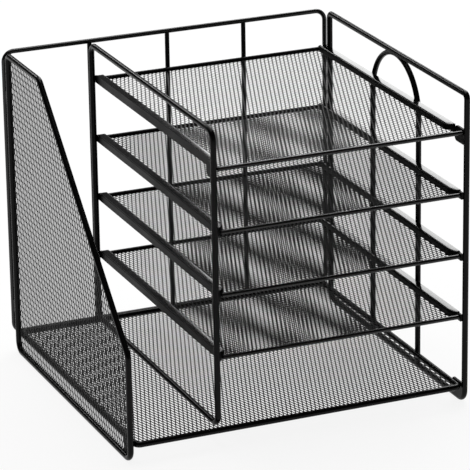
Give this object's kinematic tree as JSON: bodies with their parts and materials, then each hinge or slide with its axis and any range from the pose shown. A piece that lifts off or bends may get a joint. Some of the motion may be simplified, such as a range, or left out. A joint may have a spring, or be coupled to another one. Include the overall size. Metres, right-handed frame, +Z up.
{
  "type": "desk organizer",
  "caption": "Black wire desk organizer: a file slot with a sloped mesh panel beside a stack of mesh letter trays that slide out on rails under a fixed top tray.",
  "frame": {"origin": "on the desk, under the middle of the overall box", "axes": "+X to the right as seen by the user, +Y to the back, +Z up"},
  "size_m": [0.3478, 0.3232, 0.3108],
  "materials": {
    "wire": "black semi-gloss powder coat on round steel wire",
    "mesh": "black semi-gloss powder coat on expanded steel mesh",
    "sheet_steel": "black semi-gloss powder coat on folded sheet steel"
  },
  "bodies": {
    "stand": {"back_bar_left": "wire", "back_bar_middle": "wire", "back_bar_right": "wire", "back_clips": "sheet_steel", "back_frame": "wire", "base_mesh": "mesh", "base_rim": "wire", "divider_frame": "wire", "left_base_tab": "sheet_steel", "left_frame": "wire", "left_mesh": "mesh", "lower_tray_left_rail": "sheet_steel", "lower_tray_right_rail": "sheet_steel", "middle_tray_left_rail": "sheet_steel", "middle_tray_right_rail": "sheet_steel", "right_arch": "wire", "right_base_tab": "sheet_steel", "right_frame": "wire", "top_left_bracket": "sheet_steel", "top_right_bracket": "sheet_steel", "top_tray_back_rim": "wire", "top_tray_front_rim": "wire", "top_tray_left_rail": "sheet_steel", "top_tray_left_side": "sheet_steel", "top_tray_mesh": "mesh", "top_tray_right_rail": "sheet_steel", "top_tray_right_side": "sheet_steel", "upper_tray_left_rail": "sheet_steel", "upper_tray_right_rail": "sheet_steel"},
    "lower_tray": {"lower_tray_back_rim": "wire", "lower_tray_front_rim": "wire", "lower_tray_left_side": "sheet_steel", "lower_tray_mesh": "mesh", "lower_tray_right_side": "sheet_steel"},
    "middle_tray": {"middle_tray_back_rim": "wire", "middle_tray_front_rim": "wire", "middle_tray_left_side": "sheet_steel", "middle_tray_mesh": "mesh", "middle_tray_right_side": "sheet_steel"},
    "upper_tray": {"upper_tray_back_rim": "wire", "upper_tray_front_rim": "wire", "upper_tray_left_side": "sheet_steel", "upper_tray_mesh": "mesh", "upper_tray_right_side": "sheet_steel"}
  },
  "joints": [
    {"name": "lower_tray_slide", "type": "slide", "parent": "stand", "child": "lower_tray", "axis": [0, -1, 0], "range_m": [0, 0.2]},
    {"name": "middle_tray_slide", "type": "slide", "parent": "stand", "child": "middle_tray", "axis": [0, -1, 0], "range_m": [0, 0.2]},
    {"name": "upper_tray_slide", "type": "slide", "parent": "stand", "child": "upper_tray", "axis": [0, -1, 0], "range_m": [0, 0.2]}
  ]
}
